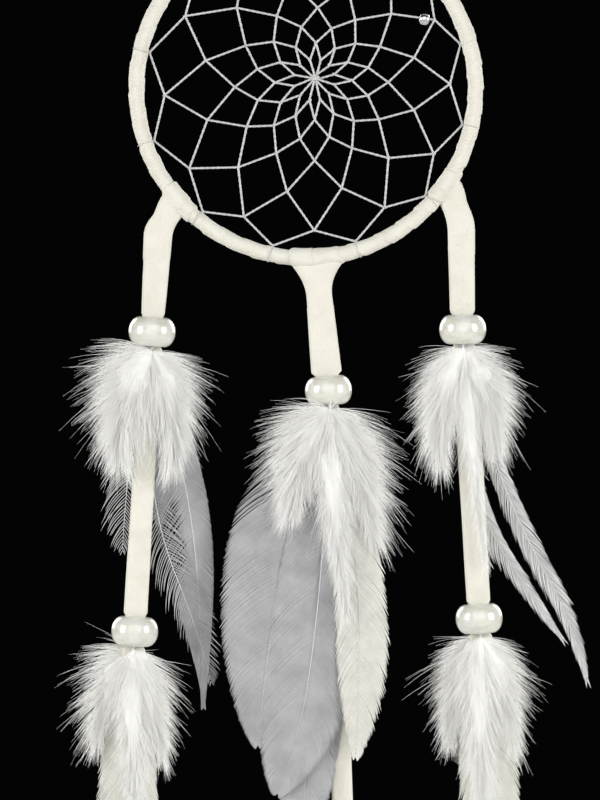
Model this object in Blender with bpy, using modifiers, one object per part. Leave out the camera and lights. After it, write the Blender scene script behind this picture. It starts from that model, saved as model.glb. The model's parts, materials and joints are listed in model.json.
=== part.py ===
"""Dream catcher: a leather-wrapped hoop with a knotted web and three beaded feather drops.

Metres, +Z up. The hoop hangs in the XZ plane with its front towards -Y. The origin is the place that
rests on a hook: the inner top of the wrapped hoop.
"""

import math
from collections import namedtuple

import bmesh
import bpy
from mathutils import Vector

# Hoop: a steel ring with a leather strip wound round it
HOOP_RADIUS = 0.0339
RING_WIRE_RADIUS = 0.0008
WRAP_CLEARANCE = 0.00025
WRAP_THICKNESS = 0.0005
WRAP_TURNS = 40
WRAP_GAP = 0.0004
WRAP_STEPS_PER_TURN = 8
RING_SEGMENTS = 60
RING_SIDES = 8
WRAP_RADIUS = RING_WIRE_RADIUS + WRAP_CLEARANCE + WRAP_THICKNESS
HOOP_CENTRE = Vector((0.0, 0.0, WRAP_RADIUS - HOOP_RADIUS))

# Web: one thread hitched to the hoop, then knotted to itself row by row
THREAD_RADIUS = 0.0002
ANCHOR_DEGREES = (16, 40, 68, 100, 132, 167, 199, 230, 258, 288, 318, 347)
WEB_POINTS = len(ANCHOR_DEGREES)
WEB_CENTRE_SHIFT = Vector((0.0018, 0.0, 0.0021))
ROW_PULLS = (0.92, 0.78, 0.74, 0.77, 0.70, 0.55)
HITCH_SEGMENTS = 8
HITCH_SIDES = 5
HITCH_CLEARANCE = 0.0003
HITCH_RING_RADIUS = WRAP_RADIUS + HITCH_CLEARANCE + THREAD_RADIUS
CENTRE_KNOT_RADIUS = 0.0014

# Metal bead that slides on one strand of the web
WEB_BEAD_RADIUS = 0.0012
WEB_BEAD_LENGTH = 0.0020
WEB_BEAD_CLEARANCE = 0.0002
WEB_BEAD_FROM_KNOT = 0.0018
WEB_BEAD_STRAND = 0

# Pony beads on the leather laces
BEAD_RADIUS = 0.0047
BEAD_HEIGHT = 0.0059
BEAD_HOLE_RADIUS = 0.0020
BEAD_SIDE_RADIUS = 0.0021
BEAD_CHAMFER = 0.0002
BEAD_STEPS = 20
BEAD_PROFILE_STEPS = 6
BEAD_TRAVEL = 0.0030

# Laces: a strip of leather folded double, so each lace is two layers thick
LACE_LAYER = 0.0006
LACE_HALF_THICKNESS = LACE_LAYER
LACE_FIT = 0.0003
LACE_TAPER = 0.0015
LACE_TAIL = 0.0050
HINGE_ROOM = 0.0010
HINGE_OVERHANG = 0.00025

# Hitches that hold the laces on the hoop
SLEEVE_CLEARANCE = 0.0003
SLEEVE_THICKNESS = 0.0005
SLEEVE_SEGMENTS = 6

# Feathers: flat layers in front of and behind each lace
FEATHER_THICKNESS = 0.00025
FEATHER_PITCH = 0.0005
FEATHER_LACE_GAP = 0.0003
QUILL_HALF_WIDTH = 0.0004
QUILL_ABOVE_HINGE = 0.0003
QUILL_BELOW_BEAD = 0.0007
QUILL_SHARE = 0.06
FEATHER_STEPS = 11

# Each drop: where it is hitched, where its lace starts, its leans from vertical and its widths
Drop = namedtuple(
    "Drop",
    "hitch_angle hitch_length neck_side neck_fall upper_lean upper_length"
    " lower_lean bead_spacing top_width above_width below_width tail_width",
)
DROPS = {
    "left": Drop(222.0, 0.0076, -0.0043, 0.0049, -3.5, 0.0211, -3.3, 0.0600, 0.0054, 0.0048, 0.0045, 0.0034),
    "centre": Drop(273.7, 0.0104, 0.0002, 0.0048, 5.5, 0.0219, 1.9, 0.0980, 0.0046, 0.0056, 0.0040, 0.0034),
    "right": Drop(325.5, 0.0071, 0.0031, 0.0073, 0.8, 0.0217, 3.4, 0.0579, 0.0052, 0.0048, 0.0046, 0.0034),
}

# Each feather: its bead, its layer (minus is in front of the lace), its length, how far it leans at
# the quill and at the tip, its half widths, and where along it it is widest
Feather = namedtuple(
    "Feather", "name drop level layer length quill_lean tip_lean half_left half_right widest"
)
FEATHERS = (
    Feather("left_upper_down_left", "left", "upper", -2, 0.0250, -42, -4, 0.0075, 0.0060, 0.45),
    Feather("left_upper_down_right", "left", "upper", -1, 0.0250, 34, 2, 0.0060, 0.0055, 0.45),
    Feather("left_upper_long_vane", "left", "upper", 2, 0.0740, 17, 1, 0.0070, 0.0038, 0.42),
    Feather("left_upper_barbed_vane", "left", "upper", 1, 0.0700, -5, 23, 0.0034, 0.0046, 0.55),
    Feather("left_upper_side_vane", "left", "upper", 3, 0.0420, -14, -2, 0.0050, 0.0045, 0.65),
    Feather("left_lower_down_front", "left", "lower", -2, 0.0300, -4, 2, 0.0075, 0.0080, 0.45),
    Feather("left_lower_down_right", "left", "lower", -1, 0.0240, 32, 8, 0.0055, 0.0060, 0.45),
    Feather("left_lower_down_left", "left", "lower", 1, 0.0210, -54, -6, 0.0045, 0.0045, 0.45),
    Feather("left_lower_vane", "left", "lower", 2, 0.0560, -4, 2, 0.0060, 0.0060, 0.55),
    Feather("centre_upper_down_front", "centre", "upper", -7, 0.0420, 0, 8, 0.0060, 0.0060, 0.40),
    Feather("centre_upper_down_left", "centre", "upper", -6, 0.0250, -42, -4, 0.0070, 0.0060, 0.45),
    Feather("centre_upper_down_right", "centre", "upper", -5, 0.0280, 30, 8, 0.0060, 0.0050, 0.45),
    Feather("centre_cream_vane", "centre", "upper", -4, 0.0710, 12, -4, 0.0045, 0.0060, 0.65),
    Feather("centre_grey_vane_front", "centre", "upper", -3, 0.0790, -2, -17, 0.0100, 0.0085, 0.70),
    Feather("centre_grey_vane_left", "centre", "upper", -2, 0.0700, -20, -4, 0.0105, 0.0100, 0.50),
    Feather("centre_grey_vane_long", "centre", "upper", -1, 0.0930, -3, -5, 0.0065, 0.0065, 0.65),
    Feather("centre_lower_down_left", "centre", "lower", -2, 0.0250, -38, -4, 0.0070, 0.0060, 0.45),
    Feather("centre_lower_down_right", "centre", "lower", -1, 0.0240, 22, 4, 0.0060, 0.0050, 0.45),
    Feather("centre_lower_vane", "centre", "lower", 1, 0.0520, 1, -3, 0.0065, 0.0065, 0.55),
    Feather("right_upper_down_front", "right", "upper", -3, 0.0440, 4, 8, 0.0045, 0.0050, 0.45),
    Feather("right_upper_down_left", "right", "upper", -2, 0.0250, -34, 4, 0.0045, 0.0050, 0.45),
    Feather("right_upper_down_right", "right", "upper", -1, 0.0240, 42, 6, 0.0055, 0.0060, 0.45),
    Feather("right_upper_outer_vane", "right", "upper", 1, 0.0730, 14, 24, 0.0026, 0.0026, 0.60),
    Feather("right_upper_inner_vane", "right", "upper", 2, 0.0650, -2, 40, 0.0032, 0.0032, 0.60),
    Feather("right_lower_down_front", "right", "lower", -2, 0.0320, -3, 2, 0.0080, 0.0080, 0.45),
    Feather("right_lower_down_right", "right", "lower", -1, 0.0250, 36, 6, 0.0055, 0.0060, 0.45),
    Feather("right_lower_down_left", "right", "lower", 1, 0.0230, -38, -4, 0.0060, 0.0055, 0.45),
    Feather("right_lower_vane", "right", "lower", 2, 0.0560, 4, 3, 0.0060, 0.0060, 0.55),
)


def clear_scene():
    for old in list(bpy.data.objects):
        bpy.data.objects.remove(old, do_unlink=True)


def make_material(name, colour, roughness, metallic=0.0):
    material = bpy.data.materials.new(name)
    material.use_nodes = True
    shader = material.node_tree.nodes["Principled BSDF"]
    shader.inputs["Base Color"].default_value = (*colour, 1.0)
    shader.inputs["Roughness"].default_value = roughness
    shader.inputs["Metallic"].default_value = metallic
    material.diffuse_color = (*colour, 1.0)
    return material


def make_collection(name):
    collection = bpy.data.collections.new(name)
    bpy.context.scene.collection.children.link(collection)
    return collection


def add_object(name, data, collection, material=None):
    made = bpy.data.objects.new(name, data)
    collection.objects.link(made)
    if material is not None:
        made.data.materials.append(material)
    return made


def into_collection(name, collection):
    """Names the primitive that was just added and moves it to a collection."""
    made = bpy.context.object
    made.name = name
    made.data.name = name
    for old in list(made.users_collection):
        old.objects.unlink(made)
    collection.objects.link(made)
    return made


def mesh_from(name, vertices, edges, faces=()):
    mesh = bpy.data.meshes.new(name)
    mesh.from_pydata(vertices, edges, faces)
    mesh.update()
    return mesh


def fall(lean):
    """The direction, in the XZ plane, that leans this many degrees from straight down towards +X."""
    return Vector((math.sin(math.radians(lean)), 0.0, -math.cos(math.radians(lean))))


def hoop_point(angle, tube_angle=0.0, from_middle=0.0):
    """A point beside the hoop's centre line: from_middle out from it, at tube_angle round it."""
    reach = HOOP_RADIUS + from_middle * math.cos(tube_angle)
    outward = Vector((math.cos(angle), 0.0, math.sin(angle)))
    return HOOP_CENTRE + outward * reach + Vector((0.0, from_middle * math.sin(tube_angle), 0.0))


def hoop_arc(middle, length, count):
    """The angles of count + 1 places along an arc of the hoop."""
    half = length / HOOP_RADIUS / 2
    return [middle - half + 2 * half * i / count for i in range(count + 1)]


def as_mesh_object(source, collection, material=None):
    """Turns a curve object into a mesh object of the same name, with its caps joined on."""
    graph = bpy.context.evaluated_depsgraph_get()
    mesh = bpy.data.meshes.new_from_object(source.evaluated_get(graph), depsgraph=graph)
    matrix, name = source.matrix_world.copy(), source.name
    bpy.data.objects.remove(source, do_unlink=True)
    work = bmesh.new()
    work.from_mesh(mesh)
    bmesh.ops.remove_doubles(work, verts=work.verts, dist=1e-6)
    work.to_mesh(mesh)
    work.free()
    mesh.materials.clear()
    made = add_object(name, mesh, collection, material)
    made.matrix_world = matrix
    return made


def tube(name, points, radius, collection):
    """A round tube with filled ends along a line of points."""
    curve = bpy.data.curves.new(name, "CURVE")
    curve.dimensions = "3D"
    curve.bevel_depth = radius
    curve.bevel_resolution = 4
    curve.use_fill_caps = True
    spline = curve.splines.new("POLY")
    spline.points.add(len(points) - 1)
    for place, point in zip(spline.points, points):
        place.co = (*point, 1.0)
    made = add_object(name, curve, collection)
    bpy.context.view_layer.update()
    return as_mesh_object(made, collection)


def plate(name, outlines, half_thickness, collection, material=None):
    """A flat piece in the XZ plane. Each outline lists (x, z) corners, and those inside others are holes."""
    curve = bpy.data.curves.new(name, "CURVE")
    curve.dimensions = "2D"
    curve.fill_mode = "BOTH"
    curve.extrude = half_thickness
    for outline in outlines:
        spline = curve.splines.new("POLY")
        spline.points.add(len(outline) - 1)
        for place, (x, z) in zip(spline.points, outline):
            place.co = (x, z, 0.0, 1.0)
        spline.use_cyclic_u = True
    made = add_object(name, curve, collection)
    made.rotation_euler.x = math.pi / 2
    bpy.context.view_layer.update()
    return as_mesh_object(made, collection, material)


def combine(target, other, operation):
    """Adds a Boolean that joins the other object to the target or cuts it away."""
    boolean = target.modifiers.new(operation.lower(), "BOOLEAN")
    boolean.operation = operation
    boolean.solver = "EXACT"
    boolean.object = other
    other.hide_render = True
    other.display_type = "WIRE"


def turned(name, profile, steps, collection, material):
    """A body turned about Z from a closed (radius, height) profile that runs down its outer side."""
    count = len(profile)
    edges = [(i, (i + 1) % count) for i in range(count)]
    mesh = mesh_from(name, [(radius, 0.0, height) for radius, height in profile], edges)
    made = add_object(name, mesh, collection, material)
    screw = made.modifiers.new("turn", "SCREW")
    screw.axis = "Z"
    screw.steps = steps
    screw.render_steps = steps
    screw.use_merge_vertices = True
    screw.merge_threshold = 1e-6
    screw.use_smooth_shade = True
    return made


def build_ring(collection, material):
    bpy.ops.mesh.primitive_torus_add(
        major_segments=RING_SEGMENTS,
        minor_segments=RING_SIDES,
        major_radius=HOOP_RADIUS,
        minor_radius=RING_WIRE_RADIUS,
        location=HOOP_CENTRE,
        rotation=(math.pi / 2, 0.0, 0.0),
    )
    ring = into_collection("hoop_ring", collection)
    ring.data.materials.append(material)
    ring.data.shade_smooth()


def build_wrap(collection, material):
    """The leather strip: an open helical ribbon round the ring, thickened both ways."""
    half_width = (math.tau / WRAP_TURNS - WRAP_GAP / HOOP_RADIUS) / 2
    middle_radius = WRAP_RADIUS - WRAP_THICKNESS / 2
    stations = (WRAP_TURNS - 1) * WRAP_STEPS_PER_TURN
    start = math.pi / 2 + math.tau / WRAP_TURNS / 2
    vertices, faces = [], []
    for i in range(stations + 1):
        tube_angle = math.tau * i / WRAP_STEPS_PER_TURN
        angle = start + math.tau / WRAP_TURNS * i / WRAP_STEPS_PER_TURN
        for side in (-half_width, half_width):
            vertices.append(hoop_point(angle + side, tube_angle, middle_radius))
        if i:
            last = 2 * i
            faces.append((last - 2, last - 1, last + 1, last))
    wrap = add_object("hoop_wrap", mesh_from("hoop_wrap", vertices, [], faces), collection, material)
    shell = wrap.modifiers.new("leather", "SOLIDIFY")
    shell.thickness = WRAP_THICKNESS
    shell.offset = 0.0


def web_rows():
    """The web's knots, row by row inwards. Each knot hangs between two of the row outside it."""
    centre = HOOP_CENTRE + WEB_CENTRE_SHIFT
    angles = [math.radians(degrees) for degrees in ANCHOR_DEGREES]
    rows = [[hoop_point(angle, math.pi, HITCH_RING_RADIUS) for angle in angles]]
    for pull in ROW_PULLS:
        outer = rows[-1]
        middles = [(outer[i] + outer[(i + 1) % WEB_POINTS]) / 2 for i in range(WEB_POINTS)]
        rows.append([centre.lerp(middle, pull) for middle in middles])
    return angles, rows, centre


def inset(corners, distance):
    """The (x, z) corners of a counter-clockwise outline whose sides have moved in by a distance."""
    moved = []
    for i, corner in enumerate(corners):
        before, after = corners[i - 1], corners[(i + 1) % len(corners)]
        first, second = (corner - before).normalized(), (after - corner).normalized()
        first_in, second_in = Vector((-first.z, first.x)), Vector((-second.z, second.x))
        shift = (first_in + second_in) * distance / (1 + first_in.dot(second_in))
        moved.append((corner.x + shift.x, corner.z + shift.y))
    return moved


def web_cells(rows, centre):
    """The net's openings: diamonds between three rows, and a last row that ends at the middle knot."""
    cells = []
    for outer, middle, inner in zip(rows, rows[1:], rows[2:]):
        for i in range(WEB_POINTS):
            after = (i + 1) % WEB_POINTS
            cells.append([outer[after], middle[after], inner[i], middle[i]])
    last = rows[-1]
    knot_ends = [centre + (knot - centre).normalized() * CENTRE_KNOT_RADIUS for knot in last]
    for i in range(WEB_POINTS):
        after = (i + 1) % WEB_POINTS
        cells.append([rows[-2][after], last[after], knot_ends[after], knot_ends[i], last[i]])
    return cells


def build_web(collection, cutters, material):
    """The thread as a flat net whose strands are as thick as they are wide, with a ring at each hitch."""
    angles, rows, centre = web_rows()
    edge = [knot for pair in zip(rows[0], rows[1]) for knot in pair]
    outlines = [inset(edge, -THREAD_RADIUS)]
    outlines += [inset(cell, THREAD_RADIUS) for cell in web_cells(rows, centre)]
    web = plate("web_thread", outlines, THREAD_RADIUS, collection, material)
    for i, angle in enumerate(angles):
        along = Vector((-math.sin(angle), 0.0, math.cos(angle)))
        bpy.ops.mesh.primitive_torus_add(
            major_segments=HITCH_SEGMENTS,
            minor_segments=HITCH_SIDES,
            major_radius=HITCH_RING_RADIUS,
            minor_radius=THREAD_RADIUS,
            location=hoop_point(angle),
            rotation=along.to_track_quat("Z", "Y").to_euler(),
        )
        ring = into_collection(f"thread_hitch_{i + 1}", cutters)
        combine(web, ring, "UNION")


def build_web_bead(collection, material):
    """The metal bead, turned about the strand that it is threaded on."""
    _, rows, _ = web_rows()
    outer, inner = rows[1][WEB_BEAD_STRAND], rows[2][WEB_BEAD_STRAND]
    along = (inner - outer).normalized()
    hole = THREAD_RADIUS * math.sqrt(2) + WEB_BEAD_CLEARANCE
    half, steps = WEB_BEAD_LENGTH / 2, 6
    side = WEB_BEAD_RADIUS - hole
    outside = [math.pi / 2 - math.pi * (i + 0.5) / steps for i in range(steps)]
    profile = [(hole + side * math.cos(a), half * math.sin(a)) for a in outside]
    profile += [(hole, -half * 0.9), (hole, half * 0.9)]
    bead = turned("web_bead", profile, 14, collection, material)
    bead.location = outer + along * WEB_BEAD_FROM_KNOT
    bead.rotation_euler = along.to_track_quat("Z", "Y").to_euler()


def drop_places(drop):
    """The lace's hinge, its two beads' centres and the place where it bends, under the upper bead."""
    pivot = hoop_point(math.radians(drop.hitch_angle))
    pivot += Vector((drop.neck_side, 0.0, -drop.neck_fall))
    upper, lower = fall(drop.upper_lean), fall(drop.lower_lean)
    to_bend = BEAD_HEIGHT / 2 + LACE_FIT
    upper_bead = pivot + upper * drop.upper_length
    bend = upper_bead + upper * to_bend
    lower_bead = bend + lower * (drop.bead_spacing - to_bend)
    return {"pivot": pivot, "upper": upper_bead, "lower": lower_bead, "bend": bend}


def lace_neck_width():
    """The width that passes through a bead with the lace's fit left all round its corners."""
    room = BEAD_HOLE_RADIUS * math.cos(math.pi / BEAD_STEPS) - LACE_FIT
    return 2 * math.sqrt(room**2 - LACE_HALF_THICKNESS**2)


def lace_stations(drop):
    """(distance from the hinge, width) down the lace: full width, and a neck at each bead."""
    half, neck = BEAD_HEIGHT / 2, lace_neck_width()
    upper, lower = drop.upper_length, drop.upper_length + drop.bead_spacing
    stations = [(-HINGE_OVERHANG, drop.top_width)]
    for bead, before, after in (
        (upper, drop.above_width, drop.below_width),
        (lower, drop.below_width, drop.tail_width),
    ):
        over = bead - half - BEAD_TRAVEL - LACE_FIT
        under = bead + half + LACE_FIT
        stations += [(over - LACE_TAPER, before), (over, neck), (under, neck), (under + LACE_TAPER, after)]
    stations.append((lower + half + LACE_TAIL, drop.tail_width * 0.8))
    return stations


def build_lace(name, drop, holder, collection, material):
    """The folded lace as one flat strap, in the frame of its hinge."""
    upper, lower = fall(drop.upper_lean), fall(drop.lower_lean)
    bend = drop.upper_length + BEAD_HEIGHT / 2 + LACE_FIT
    left, right = [], []
    for distance, width in lace_stations(drop):
        way = upper if distance <= bend else lower
        middle = upper * min(distance, bend) + lower * max(distance - bend, 0.0)
        across = Vector((-way.z, 0.0, way.x)) * (width / 2)
        left.append(((middle - across).x, (middle - across).z))
        right.append(((middle + across).x, (middle + across).z))
    lace = plate(f"{name}_lace", [left + right[::-1]], LACE_HALF_THICKNESS, collection, material)
    lace.parent = holder
    return lace


def build_hitch(name, drop, places, collection, cutters, material):
    """The lace's loop round the hoop: a sleeve along the hoop with a tongue down to the hinge."""
    middle = math.radians(drop.hitch_angle)
    bore_radius = WRAP_RADIUS + SLEEVE_CLEARANCE
    arc = [hoop_point(a) for a in hoop_arc(middle, drop.hitch_length, SLEEVE_SEGMENTS)]
    sleeve = tube(f"{name}_sleeve", arc, bore_radius + SLEEVE_THICKNESS, cutters)
    bore_arc = [hoop_point(a) for a in hoop_arc(middle, drop.hitch_length * 1.3, SLEEVE_SEGMENTS)]
    bore = tube(f"{name}_bore", bore_arc, bore_radius, cutters)
    edge = places["pivot"] + Vector((0.0, 0.0, HINGE_ROOM))
    half = drop.top_width / 2
    outline = [(point.x, point.z) for point in arc]
    outline += [(edge.x + half, edge.z), (edge.x - half, edge.z)]
    hitch = plate(f"{name}_hitch", [outline], LACE_HALF_THICKNESS, collection, material)
    combine(hitch, sleeve, "UNION")
    combine(hitch, bore, "DIFFERENCE")


def build_bead(name, place, lean, holder, collection, material):
    """A pony bead: round sides, flat ends and a straight hole."""
    half, hole = BEAD_HEIGHT / 2, BEAD_HOLE_RADIUS
    flat = BEAD_RADIUS - BEAD_SIDE_RADIUS
    turns = [math.pi / 2 - math.pi * i / BEAD_PROFILE_STEPS for i in range(BEAD_PROFILE_STEPS + 1)]
    profile = [(flat + BEAD_SIDE_RADIUS * math.cos(a), half * math.sin(a)) for a in turns]
    profile += [(hole + BEAD_CHAMFER, -half), (hole, BEAD_CHAMFER - half)]
    profile += [(hole, half - BEAD_CHAMFER), (hole + BEAD_CHAMFER, half)]
    bead = turned(name, profile, BEAD_STEPS, collection, material)
    bead.parent = holder
    bead.location = place - holder.location
    bead.rotation_euler.y = -math.radians(lean)


def feather_outline(feather):
    """The (x, z) outline of a feather from its hinge: a quill that opens into a rounded blade."""
    left, right = [(-QUILL_HALF_WIDTH, QUILL_ABOVE_HINGE)], [(QUILL_HALF_WIDTH, QUILL_ABOVE_HINGE)]
    middle = Vector((0.0, 0.0, 0.0))
    for i in range(1, FEATHER_STEPS):
        share = i / FEATHER_STEPS
        lean = feather.quill_lean + (feather.tip_lean - feather.quill_lean) * (share - 0.5 / FEATHER_STEPS)
        way = fall(lean)
        middle = middle + way * (feather.length / FEATHER_STEPS)
        if share < feather.widest:
            opened = max(share - QUILL_SHARE, 0.0) / (feather.widest - QUILL_SHARE)
            fullness = math.sin(math.pi / 2 * opened)
        else:
            closing = (share - feather.widest) / (1 - feather.widest)
            fullness = math.cos(math.pi / 2 * closing) ** 0.7
        across = Vector((-way.z, 0.0, way.x))
        to_left = middle - across * max(feather.half_left * fullness, QUILL_HALF_WIDTH)
        to_right = middle + across * max(feather.half_right * fullness, QUILL_HALF_WIDTH)
        left.append((to_left.x, to_left.z))
        right.append((to_right.x, to_right.z))
    tip = middle + fall(feather.tip_lean) * (feather.length / FEATHER_STEPS)
    return left + [(tip.x, tip.z)] + right[::-1]


def feather_depth(layer):
    """The Y of a feather's layer. Layer 1 lies next to the back of the lace and -1 next to its front."""
    first = LACE_HALF_THICKNESS + FEATHER_LACE_GAP + FEATHER_THICKNESS / 2
    return math.copysign(first + FEATHER_PITCH * (abs(layer) - 1), layer)


def feather_hinge(feather, places):
    """Where a feather's quill leaves its bead."""
    drop = DROPS[feather.drop]
    lean = drop.upper_lean if feather.level == "upper" else drop.lower_lean
    under = places[feather.level] + fall(lean) * (BEAD_HEIGHT / 2 + QUILL_BELOW_BEAD)
    return under + Vector((0.0, feather_depth(feather.layer), 0.0))


def build_feather(feather, places, holder, collection, material):
    blade = plate(
        feather.name, [feather_outline(feather)], FEATHER_THICKNESS / 2, collection, material
    )
    blade.parent = holder
    blade.location = feather_hinge(feather, places) - holder.location


def build_drops(collection, cutters, materials):
    for name, drop in DROPS.items():
        places = drop_places(drop)
        holder = add_object(f"{name}_drop", None, collection)
        holder.empty_display_size = BEAD_RADIUS
        holder.location = places["pivot"]
        build_hitch(name, drop, places, collection, cutters, materials["leather"])
        build_lace(name, drop, holder, collection, materials["leather"])
        build_bead(f"{name}_upper_bead", places["upper"], drop.upper_lean, holder, collection, materials["pearl"])
        build_bead(f"{name}_lower_bead", places["lower"], drop.lower_lean, holder, collection, materials["pearl"])
        for feather in FEATHERS:
            if feather.drop == name:
                kind = "down" if "_down_" in feather.name else "vane"
                build_feather(feather, places, holder, collection, materials[kind])


def main():
    clear_scene()
    collection = make_collection("dream_catcher")
    cutters = make_collection("cutters")
    materials = {
        "steel": make_material("steel", (0.60, 0.60, 0.62), 0.35, 1.0),
        "leather": make_material("leather", (0.86, 0.83, 0.74), 0.75),
        "thread": make_material("thread", (0.78, 0.79, 0.80), 0.60),
        "silver": make_material("silver", (0.85, 0.85, 0.86), 0.20, 1.0),
        "pearl": make_material("pearl", (0.92, 0.91, 0.86), 0.15),
        "down": make_material("down", (0.95, 0.95, 0.93), 0.90),
        "vane": make_material("vane", (0.72, 0.72, 0.74), 0.70),
    }
    build_ring(collection, materials["steel"])
    build_wrap(collection, materials["leather"])
    build_web(collection, cutters, materials["thread"])
    build_web_bead(collection, materials["silver"])
    build_drops(collection, cutters, materials)


main()
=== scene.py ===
"""Looks of the dream catcher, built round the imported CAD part. Metres, in the row frame."""

import json
import math

import bpy
import numpy as np
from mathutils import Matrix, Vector


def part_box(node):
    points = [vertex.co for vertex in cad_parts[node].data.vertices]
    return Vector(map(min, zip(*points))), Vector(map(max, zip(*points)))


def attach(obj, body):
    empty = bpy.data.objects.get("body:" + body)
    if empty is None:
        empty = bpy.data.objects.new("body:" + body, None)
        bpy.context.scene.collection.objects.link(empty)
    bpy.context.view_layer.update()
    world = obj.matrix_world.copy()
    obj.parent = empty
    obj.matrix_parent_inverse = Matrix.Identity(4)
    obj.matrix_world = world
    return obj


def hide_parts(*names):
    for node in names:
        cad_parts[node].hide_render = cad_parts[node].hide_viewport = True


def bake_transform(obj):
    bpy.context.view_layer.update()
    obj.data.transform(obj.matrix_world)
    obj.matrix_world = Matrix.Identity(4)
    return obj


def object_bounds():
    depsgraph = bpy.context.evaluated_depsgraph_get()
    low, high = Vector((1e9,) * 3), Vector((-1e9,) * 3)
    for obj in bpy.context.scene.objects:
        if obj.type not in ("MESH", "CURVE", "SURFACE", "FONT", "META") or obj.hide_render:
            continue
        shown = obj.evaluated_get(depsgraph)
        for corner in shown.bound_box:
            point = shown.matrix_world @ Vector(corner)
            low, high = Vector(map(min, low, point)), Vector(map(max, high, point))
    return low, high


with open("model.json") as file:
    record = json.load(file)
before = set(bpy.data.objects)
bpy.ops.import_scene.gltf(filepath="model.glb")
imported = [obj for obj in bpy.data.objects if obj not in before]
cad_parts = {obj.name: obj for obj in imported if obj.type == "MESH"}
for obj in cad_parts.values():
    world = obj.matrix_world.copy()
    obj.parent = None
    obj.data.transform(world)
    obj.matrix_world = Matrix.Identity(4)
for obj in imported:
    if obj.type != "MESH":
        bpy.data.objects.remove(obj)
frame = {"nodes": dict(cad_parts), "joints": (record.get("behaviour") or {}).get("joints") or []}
CAD_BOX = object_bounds()

JOINTS = {joint["name"]: joint for joint in frame["joints"]}
MM = 0.001
FRONT = np.array((0.0, -1.0, 0.0))

# Camera: the middle of the picture, its height, and how far away it stands
PICTURE_MIDDLE = (-1.2 * MM, -94.65 * MM)
PICTURE_HEIGHT = 0.160
CAMERA_DISTANCE = 1.10
SENSOR_MM = 36.0

# Stage
FLOOR_GAP = 0.012
FLOOR_HALF = 0.45
FLOOR_COLOUR = (0.72, 0.71, 0.69)
WORLD_COLOUR = (0.0012, 0.0012, 0.0013, 1.0)
LIGHTS_AIM = (0.0, 0.0, -0.105)

# Hoop and web, as in the CAD
HOOP_RADIUS = 0.0339
WRAP_RADIUS = 0.00155
HOOP_CENTRE = np.array((0.0, 0.0, WRAP_RADIUS - HOOP_RADIUS))
WRAP_TURNS = 40
ANCHOR_DEGREES = (16, 40, 68, 100, 132, 167, 199, 230, 258, 288, 318, 347)
ROW_PULLS = (0.92, 0.78, 0.74, 0.77, 0.70, 0.55)
WEB_CENTRE_SHIFT = np.array((0.0018, 0.0, 0.0021))
WEB_POINTS = len(ANCHOR_DEGREES)
THREAD_RADIUS = 0.0002
THREAD_STEP = 0.00022  # between the rings of a thread's tube
THREAD_TWIST = 0.0011  # length of one turn of the two plies
PLY_DEPTH = 0.000022
KNOT = (0.00021, 0.00017)  # radius of a knot's loop and of its thread
KNOT_ASIDE = 0.00012
CENTRE_LOOPS = 7
CENTRE_LOOP_RADIUS = 0.0006
TIGHT_THREAD = 0.00008  # a loop pulled into the leather stands this far out of it
HOOP_KNOT = (0.00022, 0.00018)

# Drops: hitch angle in degrees, length of hoop that the hitch covers, share of that length where
# its seam is, length of its flare, and the lace's widths at the top, above the upper bead, below
# it and at the tail
DROPS = {
    "left": (222.0, 0.0076, 0.66, 0.0026, 0.0056, 0.0047, 0.0045, 0.0044),
    "centre": (273.7, 0.0104, 0.44, 0.0062, 0.0048, 0.0056, 0.0040, 0.0040),
    "right": (325.5, 0.0071, 0.36, 0.0026, 0.0053, 0.0048, 0.0046, 0.0044),
}
LACE_LAYER = 0.0006
STRAP_START = 0.0050  # from the pivot to where the strap's two layers begin
GUSSET_BELOW_START = 0.0035  # the gusset ends inside the strap, this far below that
GUSSET_CORNER = 0.0020  # half the length over which the gusset turns down
BAND_LAYER = 0.0003
BAND_LAP = 0.00014
SEAM_HALF_SHARE = 0.006
PINCHED_WIDTH = 0.0033
PINCH_MARGIN, PINCH_LENGTH = 0.0007, 0.0012
TURN_HALF_LENGTH = 0.004  # the lace changes direction within this distance of the upper bead
TAIL_BELOW_BEAD = 0.0045

# Beads, as in the CAD
BEAD_RADIUS = 0.0047
BEAD_HEIGHT = 0.0059
BEAD_HOLE = 0.0020
BEAD_SIDE = 0.0021
BEAD_RIM = ((0.00035, 0.00003), (0.0002, 0.0001), (0.00007, 0.00024), (0.0, 0.00045))
METAL_BEAD_HOLE, METAL_BEAD_RADIUS, METAL_BEAD_HALF = 0.00049, 0.0012, 0.0010

# Hairs of the fluff, shafts, and the tuft at the root of a vane
HAIR_RADIUS, TUFT_HAIR_RADIUS = 0.000026, 0.000032
HAIRS_IN_LOCK, HAIR_STEPS = 5, 6
DOWN_DEPTH, TUFT_DEPTH = 0.75, 0.5  # how deep the fluff is, over how wide it is
DOWN_SHAFT_RADIUS, VANE_SHAFT_RADIUS = 0.00022, 0.00019
QUILL_ABOVE_ROOT = 0.0022
TUFT_HAIRS, TUFT_ANGLES, TUFT_SHARE, TUFT_HALF_WIDTH = 600, (62, 28), 0.3, 0.006
BARB_STEPS = 12
VANE_CUP = 0.0005

# Barbs of each kind of vane: their spacing, their width over their spacing, their angles at the
# root and the tip in degrees, and the unevenness of their lengths and of their angles
VANES = {
    "grey": (0.00040, 2.2, (46, 26), 0.012, 0.0025),
    "cream": (0.00042, 1.9, (40, 22), 0.035, 0.006),
    "slim": (0.00044, 0.95, (26, 13), 0.08, 0.016),
    "barbed": (0.00072, 0.50, (42, 26), 0.12, 0.035),
}

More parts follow.
